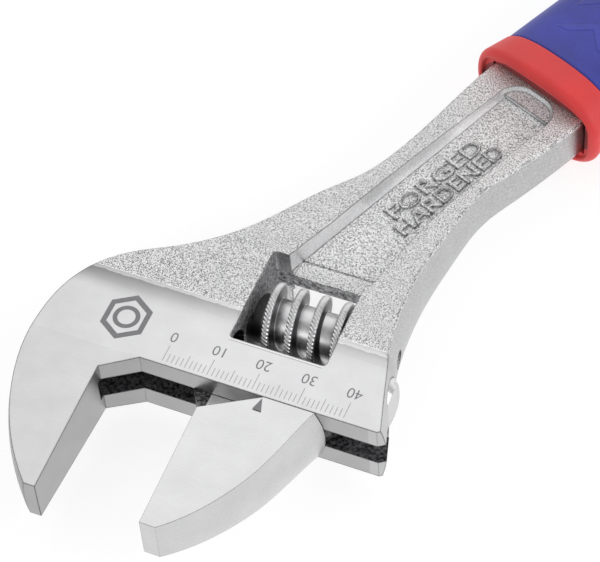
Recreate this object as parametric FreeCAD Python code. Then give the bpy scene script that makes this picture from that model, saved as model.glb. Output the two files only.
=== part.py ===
import FreeCAD, Part
import math
import os

# Adjustable wrench, 10 inch class. Millimetres, +Z up out of the visible face.
# X runs along the jaw's travel, from the fixed jaw's gripping face. Y runs towards the handle.
# The origin is the centre of the fixed jaw's gripping face, at mid-thickness.

Vector = FreeCAD.Vector

# ---- overall sizes -------------------------------------------------------------------------------
overall_length = 254.0          # along the handle's axis, fixed jaw tip to grip end
head_thickness = 15.8           # ground faces of the head
handle_angle = 22.5             # handle axis from +Y towards +X
jaw_depth = 34.3                # slide edge to fixed jaw tip
rest_opening = 23.0             # gap between the jaws as modelled

# ---- head ----------------------------------------------------------------------------------------
face_root_depth = 4.8           # slide edge to the root of the fixed gripping face
throat_run = 7.2                # length of the sloping throat facet along the slide edge
head_width = 60.5               # gripping face to the head's right corner
forged_proud = 0.6              # rough forging above the ground face, each side
ground_height = 15.2            # slide edge to where the grinding starts to run out
runout_radius = 10.0            # radius of the grinding wheel at its run-out
jaw_tip_drop = 2.45             # taper of the jaw faces at the tip, each side
edge_radius = 0.9               # rounding of the forging's outer edges
side_bulge = 1.4                # how far the sides stand out at mid-thickness
corner_cut = 1.1                # blunted right corner of the slide edge
handle_axis_x = 16.8            # where the handle's axis crosses the slide edge

# ---- slide, rack and worm --------------------------------------------------------------------------
slot_width = 5.8
slot_clearance = 0.1            # each side of the neck
slide_clearance = 0.08          # between the jaw's shoulder and the slide edge
rack_radius = 5.92
bore_clearance = 0.08           # radial, rack in its bore
bore_height = 11.75             # slide edge to the rack's axis
bore_end = -7.2                 # blind end of the bore, from the gripping face
slot_end = -5.4                 # blind end of the slot, from the gripping face
rack_start = 16.9
rack_length = 41.0
rack_round = 1.5
worm_radius = 8.5
worm_root_radius = 5.3
worm_pitch = 5.08
worm_crest = 1.5                # width of the thread at its crest
worm_flank = 0.35               # how much wider each flank is at the root
worm_length = 20.0
worm_height = 23.4              # slide edge to the worm's axis
worm_phase = 25.6               # where a crest passes the side next to the handle
crest_round = 0.5
tooth_clearance = 0.22          # between the thread and the rack's teeth
tooth_tip = 16.25               # slide edge to the ridge of the rack's teeth
tooth_fall = 0.65               # how steeply the teeth fall away to both faces
rack_end_solid = 4.4            # length at the rack's right end that keeps its full round
window_left = 22.3
window_width = 21.3
window_bottom = 11.3
window_top = 34.8
window_corner = 0.9
worm_end_gap = 0.3
pin_radius = 2.0
pin_hole_clearance = 0.02
worm_bore_clearance = 0.06
pin_blind_depth = 8.0
pin_end = 53.4                  # right end of the pin, from the gripping face
spring_wire = 0.6
spring_mean_radius = 2.95
spring_pocket_radius = 3.7
spring_pocket_depth = 6.0
spring_turns = 4.0

# ---- movable jaw -----------------------------------------------------------------------------------
movable_depth = 34.8
movable_tip_width = 3.4
jaw_back_bulge = 2.3            # roundness of the jaw's back at the shoulder, at mid-thickness
jaw_tip_bulge = 0.2
movable_root_depth = 6.8
shoulder_start = 11.9           # from the movable gripping face
shoulder_end = 22.9
neck_back = 4.6                 # how far the neck reaches past the gripping face
neck_end = 26.8

# ---- shank and grip, stations are along the handle's axis from the slide edge -----------------------
waist_station = 74.0
waist_half_width = 9.9
shank_shift = 0.5               # the shank lies this far right of the handle's axis
shank_half_width = 11.8         # at the height of the head's faces, before the bulge
shank_half_thickness = 5.1
web_half_thickness = 3.0
web_edge_half_thickness = 1.5
web_bevel_length = 3.4
recess_half_width = 6.1         # at the panel's floor
recess_shift = 1.1              # the panel lies this far right of the handle's axis
recess_draft = 2.5              # how much further out each wall is, recess_draft_height above the floor
recess_draft_height = 6.0
recess_corner = 4.6
recess_end = 105.3
collar_start = 105.8
collar_length = 8.2
collar_half_width = 18.1
collar_half_thickness = 11.0
collar_round = 1.9
collar_rear_round = 0.5
collar_lip_round = 0.45
sleeve_round = 0.6
cap_round = 6.0
collar_gap = 3.0                # open space around the shank inside the lip
collar_gap_depth = 1.1
collar_shank_clearance = 0.15   # around the shank where it goes through the collar
shank_end_inset = 2.0           # the shank stops this far before the sleeve
tang_half_width = 9.5
tang_half_thickness = 4.0
tang_end = 196.0
tang_clearance = 0.03
sleeve_half_width = 16.6
sleeve_half_thickness = 10.1
cap_length = 20.0
joint_gap = 0.05
hang_hole_radius = 4.0
hang_hole_inset = 10.5

half_thickness = head_thickness / 2.0
slide_edge_y = (jaw_depth + face_root_depth) / 2.0
tilt = math.radians(handle_angle)
along = Vector(math.sin(tilt), math.cos(tilt), 0)
across = Vector(math.cos(tilt), -math.sin(tilt), 0)
forged_half = half_thickness + forged_proud
tip_reach = jaw_depth * math.cos(tilt) + handle_axis_x * math.sin(tilt)
grip_end = overall_length - tip_reach
cap_start = grip_end - cap_length
sleeve_start = collar_start + collar_length


def at(x, y, z=0.0):
    """A point from the gripping face and the slide edge."""
    return Vector(x, y + slide_edge_y, z)


def on_handle(u, s, z=0.0):
    """A point from the handle's axis: u across, s along."""
    return at(handle_axis_x, 0, z) + across * u + along * s


def prism(points, low, high):
    """A straight-sided solid between two heights from points in order."""
    flat = [Vector(p.x, p.y, low) for p in points]
    wire = Part.makePolygon(flat + [flat[0]])
    return Part.Face(wire).extrude(Vector(0, 0, high - low))


def spline(points):
    """A smooth edge through the points."""
    curve = Part.BSplineCurve()
    curve.interpolate(points)
    return curve.toShape()


def rod(radius, start, end, height):
    """A cylinder along X, from and to the given distances from the gripping face."""
    return Part.makeCylinder(radius, end - start, at(start, height), Vector(1, 0, 0))


def bulged(points, amounts):
    """The points moved sideways, off the smooth curve through them."""
    curve = Part.BSplineCurve()
    curve.interpolate(points)
    moved = []
    for point, amount in zip(points, amounts):
        tangent = curve.tangent(curve.parameter(point))[0]
        moved.append(point + Vector(tangent.y, -tangent.x, 0) * amount)
    return moved


def head_outline(bulge):
    """The closed outline of head, fixed jaw and shank, before the mouth is cut."""
    s_end = sleeve_start - shank_end_inset
    left = [on_handle(shank_shift - shank_half_width, s_end),
            on_handle(shank_shift - shank_half_width, recess_end - 8),
            on_handle(shank_shift - shank_half_width + 1.2, waist_station + 11),
            on_handle(shank_shift - waist_half_width, waist_station),
            on_handle(shank_shift - waist_half_width - 0.7, waist_station - 11),
            on_handle(shank_shift - waist_half_width - 3.2, waist_station - 20),
            at(16.8, 41.6), at(12.0, 36.2), at(7.0, 32.0), at(2.0, 28.6), at(-3.4, 25.6), at(-8.4, 22.0),
            at(-12.6, 17.2), at(-15.6, 10.8), at(-16.9, 3.4), at(-16.9, -4.0), at(-15.3, -12.0),
            at(-12.2, -20.0), at(-7.8, -27.3), at(-1.9, -jaw_depth + 0.2)]
    right = [at(head_width + 0.3, -3.0), at(57.4, 8.0), at(55.1, 16.0), at(53.6, 22.0), at(52.4, 31.0),
             at(52.2, 42.0),
             on_handle(shank_shift + waist_half_width + 2.2, waist_station - 7.5),
             on_handle(shank_shift + waist_half_width + 0.2, waist_station + 3),
             on_handle(shank_shift + shank_half_width - 1.0, waist_station + 13),
             on_handle(shank_shift + shank_half_width, recess_end - 5),
             on_handle(shank_shift + shank_half_width, s_end)]
    left = bulged(left, [bulge] * len(left))
    right = bulged(right, [bulge] * len(right))
    corner = at(0.6, -jaw_depth - 0.4)
    edges = [spline(left), Part.makeLine(left[-1], corner), Part.makeLine(corner, right[0]),
             spline(right), Part.makeLine(right[-1], left[0])]
    return Part.Wire(edges)


def barrelled(outline, half, middle_bulge):
    """A solid whose sides stand out at mid-thickness."""
    wires = []
    for height, bulge in ((-half, 0.0), (0.0, middle_bulge), (half, 0.0)):
        wire = outline(bulge)
        wire.translate(Vector(0, 0, height))
        wires.append(wire)
    return Part.makeLoft(wires, True, False)


def mouth():
    """What is cut away between the jaws and below the slide edge."""
    reach = head_width + 20
    return prism([at(0, -60), at(0, -face_root_depth), at(throat_run, 0), at(head_width - corner_cut, 0),
                  at(head_width + corner_cut, 1.4 * corner_cut), at(reach, 1.4 * corner_cut), at(reach, -60)],
                 -30, 30)


def side_profile():
    """The forging seen from the side, thick at the head and thinner at the grip."""
    s_end = collar_start + collar_length
    stations = [(-70.0, forged_half), (30.0, forged_half), (60.0, 6.9), (84.0, 5.6),
                (recess_end - 6, shank_half_thickness), (s_end + 1, shank_half_thickness)]
    base = on_handle(-120, 0)

    def edge(sign):
        pts = [base + along * s + Vector(0, 0, sign * z) for s, z in stations]
        flat = Part.makeLine(pts[0], pts[1])
        curve = Part.BSplineCurve()
        curve.interpolate(Points=pts[1:], InitialTangent=along * 30, FinalTangent=along * 12)
        return pts, [flat, curve.toShape()]

    top_pts, top = edge(1)
    bottom_pts, bottom = edge(-1)
    wire = Part.Wire(Part.__sortEdges__(top + [Part.makeLine(top_pts[-1], bottom_pts[-1])] + bottom
                                        + [Part.makeLine(bottom_pts[0], top_pts[0])]))
    return Part.Face(wire).extrude(across * 240)


def outer_edges(solid):
    """The long edges of the forging where its broad faces meet its curved sides."""
    found = []
    for edge in solid.Edges:
        ends = [vertex.Point for vertex in edge.Vertexes]
        chord = (ends[0] - ends[-1]).Length
        if abs(ends[0].z) > 1.0 and ends[0].z * ends[-1].z > 0 and edge.Length > chord * 1.0001:
            found.append(edge)
    return found


def rounded_rectangle(u0, u1, s0, s1, radius, low, high):
    """A pocket with round corners, square to the handle."""
    corners = [(u0, s0, 1, 1), (u1, s0, -1, 1), (u1, s1, -1, -1), (u0, s1, 1, -1)]
    edges = []
    ends = []
    for i, (u, s, du, ds) in enumerate(corners):
        centre = on_handle(u + du * radius, s + ds * radius, low)
        first = on_handle(u, s + ds * radius, low)
        last = on_handle(u + du * radius, s, low)
        if i % 2:
            first, last = last, first
        middle = centre + (first + last - centre * 2).normalize() * radius
        edges.append(Part.Arc(first, middle, last).toShape())
        ends.append((first, last))
    for i in range(4):
        edges.append(Part.makeLine(ends[i][1], ends[(i + 1) % 4][0]))
    return Part.Face(Part.Wire(Part.__sortEdges__(edges))).extrude(Vector(0, 0, high - low))


def oval(half_width, half_thickness, station, power=2.6, count=24):
    """A closed cross-section of the grip at a station."""
    points = []
    for i in range(count):
        a = 2 * math.pi * (i + 0.5) / count
        c = math.cos(a)
        s = math.sin(a)
        u = half_width * math.copysign(abs(c) ** (2 / power), c)
        z = half_thickness * math.copysign(abs(s) ** (2 / power), s)
        points.append(on_handle(u, station, z))
    curve = Part.BSplineCurve()
    curve.interpolate(Points=points, PeriodicFlag=True)
    return Part.Wire([curve.toShape()])


def jaw_taper(reach, sign):
    """The wedge that thins a jaw towards its tip, on one side."""
    far = reach * 2.0
    drop = jaw_tip_drop * far / reach
    section = [at(-60, 0, sign * half_thickness), at(-60, -far, sign * (half_thickness - drop)),
               at(-60, -far, sign * 40), at(-60, 0, sign * 40)]
    face = Part.Face(Part.makePolygon(section + [section[0]]))
    return face.extrude(Vector(180, 0, 0))


def grinding(sign):
    """What the grinding takes off one face of the head, with its hollow run-out."""
    low = half_thickness
    block = Part.makeBox(200, 100 + ground_height, 30, at(-60, -100, low if sign > 0 else -low - 30))
    wheel = Part.makeCylinder(runout_radius, 200, at(-60, ground_height, sign * (low + runout_radius)),
                              Vector(1, 0, 0))
    return block.fuse(wheel)


def window():
    """The opening for the worm."""
    right = window_left + window_width
    corners = [at(window_left, window_bottom), at(right, window_bottom), at(right, window_top),
               at(window_left, window_top)]
    solid = prism(corners, -30, 30)
    upright = [e for e in solid.Edges
               if abs(e.Vertexes[0].Point.z - e.Vertexes[1].Point.z) > 1]
    return solid.makeFillet(window_corner, upright)


def slot():
    """The slot for the neck, open at the slide edge and at the right end."""
    half = slot_width / 2.0
    points = [at(0.6, -face_root_depth - 1.4), at(0, -face_root_depth - 1.2), at(slot_end, 0.4),
              at(slot_end, bore_height), at(head_width + 20, bore_height), at(head_width + 20, -12),
              at(0.6, -12)]
    return prism(points, -half, half)


def recess_outline(grow):
    """The panel's outline at its floor (grow 0) or recess_draft_height above it (grow 1)."""
    z = web_half_thickness + recess_draft_height * grow
    draft = recess_draft * grow
    left = recess_shift - recess_half_width
    right = recess_shift + recess_half_width
    end = recess_end + draft
    corner = recess_corner + draft * 0.5
    turn = corner * (1 - math.sqrt(0.5))
    near_left = [on_handle(left - 0.1 * grow, 34, z), on_handle(left - 0.15 * grow, 48, z),
                 on_handle(left - draft * 0.6, 64, z), on_handle(left - draft, 82, z),
                 on_handle(left - draft, end - corner, z)]
    near_right = [on_handle(right + draft, end - corner, z), on_handle(right + draft, 70, z),
                  on_handle(right + 0.7 + draft * 0.9, 62, z), on_handle(right + 2.0 + draft * 0.6, 55, z),
                  on_handle(right + 5.1 + draft * 0.2, 42, z),
                  at(window_left + window_width - 0.2, window_top - 2, z),
                  at(window_left + 3.0, window_top - 2, z)]
    edges = [Part.makeLine(a, b) for a, b in zip(near_left, near_left[1:])]
    edges.append(Part.Arc(near_left[-1], on_handle(left - draft + turn, end - turn, z),
                          on_handle(left - draft + corner, end, z)).toShape())
    edges.append(Part.makeLine(on_handle(left - draft + corner, end, z),
                               on_handle(right + draft - corner, end, z)))
    edges.append(Part.Arc(on_handle(right + draft - corner, end, z),
                          on_handle(right + draft - turn, end - turn, z), near_right[0]).toShape())
    edges += [Part.makeLine(a, b) for a, b in zip(near_right, near_right[1:] + near_left[:1])]
    return Part.Wire(edges)


def recess(sign):
    """The panel sunk into one side of the shank, with the bevel down to the window."""
    panel = Part.makeLoft([recess_outline(0.0), recess_outline(1.0)], True, True)
    bevel_drop = web_half_thickness - web_edge_half_thickness
    section = [at(0, window_top - 2, web_half_thickness - bevel_drop * (1 + 2 / web_bevel_length)),
               at(0, window_top + web_bevel_length, web_half_thickness),
               at(0, window_top + web_bevel_length, 12), at(0, window_top - 2, 12)]
    wedge = Part.Face(Part.makePolygon(section + [section[0]])).extrude(Vector(80, 0, 0))
    right = window_left + window_width - 0.2
    inside = prism([at(window_left + 3.1, window_top - 3), at(right, window_top - 3),
                    at(right, window_top + 6), at(window_left + 5.6, window_top + 6)], 0, 6)
    shape = panel.fuse(wedge.common(inside))
    if sign < 0:
        shape = shape.mirror(Vector(0, 0, 0), Vector(0, 0, 1))
    return shape


def body():
    forging = barrelled(head_outline, forged_half + 0.5, side_bulge).common(side_profile())
    forging = forging.makeFillet(edge_radius, outer_edges(forging))
    forging = forging.cut(mouth())
    for sign in (1, -1):
        forging = forging.cut(jaw_taper(jaw_depth, sign))
        forging = forging.cut(grinding(sign))
    for sign in (1, -1):
        forging = forging.cut(recess(sign))
    forging = forging.cut(window())
    forging = forging.cut(slot())
    forging = forging.cut(rod(rack_radius + bore_clearance, bore_end, head_width + 20, bore_height))
    hole_start = window_left - pin_blind_depth
    forging = forging.cut(rod(pin_radius + pin_hole_clearance, hole_start, head_width + 20, worm_height))
    tang = rounded_rectangle(-tang_half_width, tang_half_width, sleeve_start - 12, tang_end, 3.0,
                             -tang_half_thickness, tang_half_thickness)
    return forging.fuse(tang).removeSplitter()


def thread_profile(grow):
    """Half widths of the thread at crest and root, made larger by a clearance."""
    return worm_crest / 2.0 + grow, worm_crest / 2.0 + worm_flank + grow


def worm():
    """The worm, made standing on its end and then laid along X."""
    crest, root = thread_profile(0.0)
    inner = worm_root_radius - 0.5
    start = window_left + window_width - worm_end_gap - worm_length
    low = start - worm_phase + 2 * worm_pitch
    helix = Part.makeHelix(worm_pitch, worm_length + 4 * worm_pitch, worm_root_radius)
    profile = [Vector(inner, 0, -root), Vector(worm_radius - crest_round, 0, -crest),
               Vector(worm_radius, 0, -crest + crest_round), Vector(worm_radius, 0, crest - crest_round),
               Vector(worm_radius - crest_round, 0, crest), Vector(inner, 0, root)]
    thread = Part.Wire(helix).makePipeShell([Part.makePolygon(profile + [profile[0]])], True, True)

    def post(radius, end=worm_length, first=0.0):
        return Part.makeCylinder(radius, end - first, Vector(0, 0, low + first))

    solid = post(worm_root_radius).fuse(thread.common(post(worm_radius + 2)))
    solid = solid.cut(post(pin_radius + worm_bore_clearance, worm_length + 1, -1))
    solid = solid.cut(post(spring_pocket_radius, spring_pocket_depth, -1))
    laid = FreeCAD.Rotation(Vector(0, 1, 0), Vector(0, 0, 1), Vector(1, 0, 0), "ZXY")
    solid.Placement = FreeCAD.Placement(at(start - low, worm_height), laid)
    return solid


def tooth_cutter(x):
    """The space that one turn of the thread needs in the rack."""
    crest, root = thread_profile(tooth_clearance)
    outer = worm_radius + tooth_clearance
    profile = [Vector(-root, worm_root_radius - 1, 0), Vector(-crest, outer, 0), Vector(crest, outer, 0),
               Vector(root, worm_root_radius - 1, 0)]
    face = Part.Face(Part.makePolygon(profile + [profile[0]]))
    disc = face.revolve(Vector(0, 0, 0), Vector(1, 0, 0), 360)
    gap = Part.makeBox(2 * crest + 0.2, 5.0, 20.0, Vector(-crest - 0.1, -outer, -10.0))
    disc = disc.fuse(gap)
    lead = math.degrees(math.atan(worm_pitch / (2 * math.pi * worm_radius)))
    disc.rotate(Vector(0, 0, 0), Vector(0, 1, 0), -lead)
    disc.translate(at(x, worm_height))
    return disc


def jaw_outline(bulge):
    """The movable jaw's outline, before its flat faces are cut."""
    face = rest_opening
    back = [at(face + shoulder_end + 1.4, 3.0), at(face + shoulder_end, -slide_clearance),
            at(face + 20.0, -8.1), at(face + 17.2, -15.7), at(face + 13.4, -22.9), at(face + 8.4, -29.8),
            at(face + movable_tip_width, -movable_depth)]
    tip_bulge = bulge * jaw_tip_bulge / jaw_back_bulge
    step = (bulge - tip_bulge) / (len(back) - 1)
    back = bulged(back, [step * i - bulge for i in range(len(back))])
    far = at(face - 3, -movable_depth)
    top = at(face - 3, 3.0)
    edges = [spline(back), Part.makeLine(back[-1], far), Part.makeLine(far, top),
             Part.makeLine(top, back[0])]
    return Part.Wire(edges)


def movable_jaw():
    face = rest_opening
    jaw = barrelled(jaw_outline, half_thickness, jaw_back_bulge)
    relief = prism([at(face - 9, -60), at(face, -60), at(face, -movable_root_depth),
                    at(face + shoulder_start, -slide_clearance), at(face + 40, -slide_clearance),
                    at(face + 40, 20), at(face - 9, 20)], -30, 30)
    jaw = jaw.cut(relief)
    for sign in (1, -1):
        jaw = jaw.cut(jaw_taper(movable_depth, sign))
    half = slot_width / 2.0 - slot_clearance
    neck = prism([at(face - neck_back, bore_height), at(face - neck_back, 0.6),
                  at(face, -movable_root_depth + 1.2), at(face + 1, -movable_root_depth),
                  at(face + shoulder_end - 4, -6), at(face + shoulder_end, -0.3),
                  at(face + neck_end, 2.6), at(face + neck_end, bore_height)], -half, half)
    rack = rod(rack_radius, rack_start, rack_start + rack_length, bore_height)
    rack = rack.makeChamfer(rack_round, [e for e in rack.Edges if e.Curve.TypeId == "Part::GeomCircle"])
    reach = rack_radius + 1
    start = rack_start - 1
    eaves = tooth_tip - tooth_fall * reach
    roof = Part.makePolygon([at(start, tooth_tip), at(start, eaves, reach),
                             at(start, tooth_tip + 4, reach), at(start, tooth_tip + 4, -reach),
                             at(start, eaves, -reach), at(start, tooth_tip)])
    rack = rack.cut(Part.Face(roof).extrude(Vector(rack_length + 1 - rack_end_solid, 0, 0)))
    solid = jaw.fuse(neck).fuse(rack)
    first = worm_phase + worm_pitch / 2.0
    low = math.ceil((rack_start - first) / worm_pitch)
    high = math.floor((rack_start + rack_length - first) / worm_pitch)
    for n in range(low - 1, high + 2):
        solid = solid.cut(tooth_cutter(first + n * worm_pitch))
    return solid.removeSplitter()


def pin():
    solid = rod(pin_radius, window_left - pin_blind_depth + 0.3, pin_end, worm_height)
    drive = Part.makeBox(1.2, 0.9, 2 * pin_radius + 1,
                         at(pin_end - 1.0, worm_height - 0.45, -pin_radius - 0.5))
    return solid.cut(drive)


def spring():
    start = window_left + joint_gap + spring_wire / 2.0
    worm_start = window_left + window_width - worm_end_gap - worm_length
    length = worm_start + spring_pocket_depth - joint_gap - spring_wire / 2.0 - start
    helix = Part.makeHelix(length / spring_turns, length, spring_mean_radius)
    ring = Part.Wire(Part.makeCircle(spring_wire / 2.0, Vector(spring_mean_radius, 0, 0), Vector(0, 1, 0)))
    coil = Part.Wire(helix).makePipeShell([ring], True, True)
    coil.Placement = FreeCAD.Placement(at(start, worm_height),
                                       FreeCAD.Rotation(Vector(0, 0, 1), Vector(1, 0, 0)))
    return Part.Solid(coil) if coil.ShapeType != "Solid" else coil


def tang_hole(start, end):
    return rounded_rectangle(-tang_half_width - tang_clearance, tang_half_width + tang_clearance, start, end,
                             3.0, -tang_half_thickness - tang_clearance, tang_half_thickness + tang_clearance)


def end_edges(solid, station):
    """The edges of a grip piece that lie in the cross-section at a station."""
    level = on_handle(0, station).dot(along)
    return [e for e in solid.Edges if all(abs(v.Point.dot(along) - level) < 0.01 for v in e.Vertexes)
            and abs(e.CenterOfMass.dot(along) - level) < 0.01]


def tube(half_width, half_thickness, start, end, power=2.6):
    """A straight oval length of grip."""
    face = Part.Face(oval(half_width, half_thickness, start, power))
    return face.extrude(along * (end - start))


def grip_collar():
    start = collar_start
    end = collar_start + collar_length
    solid = Part.makeLoft([oval(collar_half_width, collar_half_thickness, start),
                           oval(sleeve_half_width + 0.2, sleeve_half_thickness + 0.2, end)], True, True)
    solid = solid.makeFillet(collar_round, end_edges(solid, start))
    solid = solid.makeFillet(collar_rear_round, end_edges(solid, end))
    steel_half_width = shank_half_width + side_bulge + 3 * collar_shank_clearance
    steel_half_thickness = shank_half_thickness + collar_shank_clearance
    gap = tube(steel_half_width + collar_gap - 1.0, shank_half_thickness + collar_gap, start - 1,
               start + collar_gap_depth, 3.6)
    solid = solid.cut(gap)
    solid = solid.makeFillet(collar_lip_round, end_edges(solid, start))
    steel = rounded_rectangle(shank_shift - steel_half_width, shank_shift + steel_half_width,
                              start - 5, sleeve_start - shank_end_inset + 2 * collar_shank_clearance, 0.5,
                              -steel_half_thickness, steel_half_thickness)
    return solid.cut(steel).cut(tang_hole(start, end + 5))


def grip_sleeve():
    start = sleeve_start + joint_gap
    end = cap_start - joint_gap
    a = sleeve_half_width
    b = sleeve_half_thickness
    waists = [(0.0, 0.0, 0.0), (0.3, 1.0, 0.1), (0.6, 1.7, 0.2), (1.0, 0.0, 0.0)]
    solid = Part.makeLoft([oval(a - du, b - dz, start + (end - start) * part) for part, du, dz in waists],
                          True, False)
    solid = solid.makeFillet(sleeve_round, end_edges(solid, start) + end_edges(solid, end))
    return solid.cut(tang_hole(start - 10, end + 10))


def grip_cap():
    solid = tube(sleeve_half_width + 0.3, sleeve_half_thickness + 0.3, cap_start, grip_end)
    solid = solid.makeFillet(cap_round, end_edges(solid, grip_end))
    solid = solid.makeFillet(collar_rear_round, end_edges(solid, cap_start))
    solid = solid.cut(tang_hole(cap_start - 10, tang_end + 0.3))
    centre = on_handle(0, grip_end - hang_hole_inset, -30)
    return solid.cut(Part.makeCylinder(hang_hole_radius, 60, centre, Vector(0, 0, 1)))


nodes = {
    "body": body,
    "movable_jaw": movable_jaw,
    "adjusting_knurl": worm,
    "knurl_pin": pin,
    "knurl_spring": spring,
    "grip_collar": grip_collar,
    "grip_sleeve": grip_sleeve,
    "grip_cap": grip_cap,
}

os.makedirs("parts", exist_ok=True)
for name, build in nodes.items():
    shape = build()
    if shape.ShapeType == "Compound" and len(shape.Solids) == 1:
        shape = shape.Solids[0]
    print(name, shape.ShapeType, len(shape.Solids), shape.isValid(), round(shape.Volume, 1), shape.BoundBox)
    shape.exportStep("parts/" + name + ".step")
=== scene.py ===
import math
import bmesh
import bpy
from bpy.props import FloatProperty, FloatVectorProperty, IntProperty, PointerProperty, StringProperty
from mathutils import Matrix, Vector


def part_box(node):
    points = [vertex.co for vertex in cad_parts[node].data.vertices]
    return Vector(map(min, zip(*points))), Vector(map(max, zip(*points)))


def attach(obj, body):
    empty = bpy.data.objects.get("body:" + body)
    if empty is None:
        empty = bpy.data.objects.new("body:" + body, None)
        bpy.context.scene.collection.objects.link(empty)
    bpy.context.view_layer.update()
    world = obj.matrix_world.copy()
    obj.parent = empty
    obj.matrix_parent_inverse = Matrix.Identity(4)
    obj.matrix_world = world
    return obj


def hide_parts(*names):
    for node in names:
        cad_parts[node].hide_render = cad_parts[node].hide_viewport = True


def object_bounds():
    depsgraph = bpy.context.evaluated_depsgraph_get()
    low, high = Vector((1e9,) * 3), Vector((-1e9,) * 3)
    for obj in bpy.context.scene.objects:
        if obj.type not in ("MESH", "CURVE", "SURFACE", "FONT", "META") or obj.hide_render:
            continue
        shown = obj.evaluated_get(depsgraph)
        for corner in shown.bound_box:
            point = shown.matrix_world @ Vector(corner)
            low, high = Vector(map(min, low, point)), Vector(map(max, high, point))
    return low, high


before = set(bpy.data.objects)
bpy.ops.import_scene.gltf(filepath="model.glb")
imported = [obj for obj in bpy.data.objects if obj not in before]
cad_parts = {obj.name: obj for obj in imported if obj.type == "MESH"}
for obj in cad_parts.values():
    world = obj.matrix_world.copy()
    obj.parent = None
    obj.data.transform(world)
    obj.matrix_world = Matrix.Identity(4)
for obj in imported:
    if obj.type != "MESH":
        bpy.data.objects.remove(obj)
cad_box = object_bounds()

bl_info = {
    "name": "Adjustable Wrench",
    "version": (1, 0, 0),
    "blender": (4, 5, 0),
    "location": "View3D > Sidebar > Wrench",
    "description": "Finishes, worm, markings and studio for a 10 inch adjustable wrench",
    "category": "Object",
}

MM = 0.001                                    # one millimetre in metres

# Where the finished surfaces lie: the worm's box and the faces' height are taken from the imported
# parts, the rest are given.
worm_low, worm_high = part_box("adjusting_knurl")
face_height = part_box("movable_jaw")[1][2]     # the head's ground face and the jaw's face are level
slide_edge = 19.55 * MM                       # edge of the head that the jaw slides along
ridge = 38.15 * MM                            # where the grinding runs out against the forging
rack_axis = slide_edge + 11.75 * MM           # axis of the rack's bore
handle_turn = math.radians(22.5)              # the handle leans this far from +Y towards +X
handle_root = 16.8 * MM                       # where the handle's axis crosses the slide edge
wrench_middle = Vector((35.0, 60.0, 0.0)) * MM  # what the lights face

# Parts of the body that have their own finish, in millimetres.
bore_radius = 6.12                            # the rack's bore and a little around it
half_slot = 3.02                              # half the slot and a little around it
window_middle = (32.95, 42.6)                 # middle of the worm's window along X and Y
window_reach = (10.9, 11.95)                  # from there to just past its walls
panel_shift = 1.1                             # the handle's panel lies this far right of its axis


def from_hex(code):
    """Turns an sRGB hex colour into Blender's linear red, green and blue."""
    values = [int(code[i:i + 2], 16) / 255.0 for i in (0, 2, 4)]
    return tuple(v / 12.92 if v <= 0.04045 else ((v + 0.055) / 1.055) ** 2.4 for v in values)


# ---- sizes and colours that can be changed ----

def a_colour(name, description, code):
    """A colour that can be changed, from its sRGB hex code."""
    return FloatVectorProperty(name=name, description=description, subtype="COLOR", size=3,
                               default=from_hex(code))


def a_length(name, description, millimetres):
    """A length that can be changed, from its size in millimetres."""
    return FloatProperty(name=name, description=description, default=millimetres * MM, min=0.0,
                         precision=6, unit="LENGTH")


def a_brightness(name, description, value):
    """A light's brightness that can be changed."""
    return FloatProperty(name=name, description=description, default=value, min=0.0)


class WrenchFinish(bpy.types.PropertyGroup):
    """Colours and grain of the steel and of the grip."""
    plating: a_colour("Plating", "Colour of the satin chrome plating", "dadadb")
    jaw: a_colour("Ground jaw", "Colour of the movable jaw's ground faces", "e4e4e5")
    forging: a_colour("Blasted forging", "Colour of the plating where the steel was shot blasted",
                      "f2f2f3")
    # Partly the dull steel's own colour, partly painted shade inside the slot and the bore.
    shadow: a_colour("Inside", "Colour of the dull steel inside the slot and the bore", "5c5c5e")
    mark: a_colour("Laser mark", "Colour of the filled laser marks on the ground faces", "868688")
    fine_mark: a_colour("Fine laser lines", "Colour of the scale's single-pass laser lines", "b2b2b4")
    red: a_colour("Red grip", "Colour of the soft collar and end cap", "dd3a3a")
    blue: a_colour("Blue grip", "Colour of the sleeve", "3a40a0")
    grit: a_length("Blasting grain", "Size of one dimple of the blasted surface", 0.24)
    edge: a_length("Edge break", "Radius that tumbling leaves on the steel's edges", 0.22)


class WrenchWorm(bpy.types.PropertyGroup):
    """Sizes of the thumb-turned worm."""
    pitch: a_length("Pitch", "Advance of the thread in one turn", 5.08)
    phase: a_length("First crest", "Where a crest passes the side next to the handle, along X", 25.6)
    core: a_length("Core radius", "Radius of the turned core between the threads", 5.3)
    crest: a_length("Crest width", "Width of the knurled crest", 1.5)
    root: a_length("Root width", "Width of the thread where it meets the core", 2.2)
    crown: a_length("Crown", "How much lower the crest's edges are than its middle", 0.3)
    teeth: IntProperty(name="Knurl teeth", description="Slanted teeth round one turn of the crest",
                       default=60, min=8, max=120)
    depth: a_length("Knurl depth", "Depth of the knurl's grooves", 0.32)
    slant: FloatProperty(name="Knurl slant", default=math.radians(30), subtype="ANGLE",
                         description="Angle between the knurl's grooves and the worm's axis")
    pocket: a_length("Spring pocket depth", "Depth of the bore's wide end that holds the spring", 6.0)


class WrenchMarks(bpy.types.PropertyGroup):
    """The scale, its pointer and the plain nut mark."""
    zero: a_length("Zero", "Place of the scale's zero along the slide edge", 11.84)
    span: IntProperty(name="Span", description="Number of millimetre marks after zero", default=40,
                      min=10, max=60)
    line: a_length("Line width", "Width of one mark", 0.17)
    start: a_length("Start of the marks", "Slide edge to the near end of every mark", 0.9)
    digit: a_length("Digit height", "Height of the scale's numbers", 2.45)
    row: a_length("Row of numbers", "Slide edge to the middle of the numbers", 7.1)
    nut: a_length("Nut mark", "Width across the flats of the nut mark", 9.4)


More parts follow.
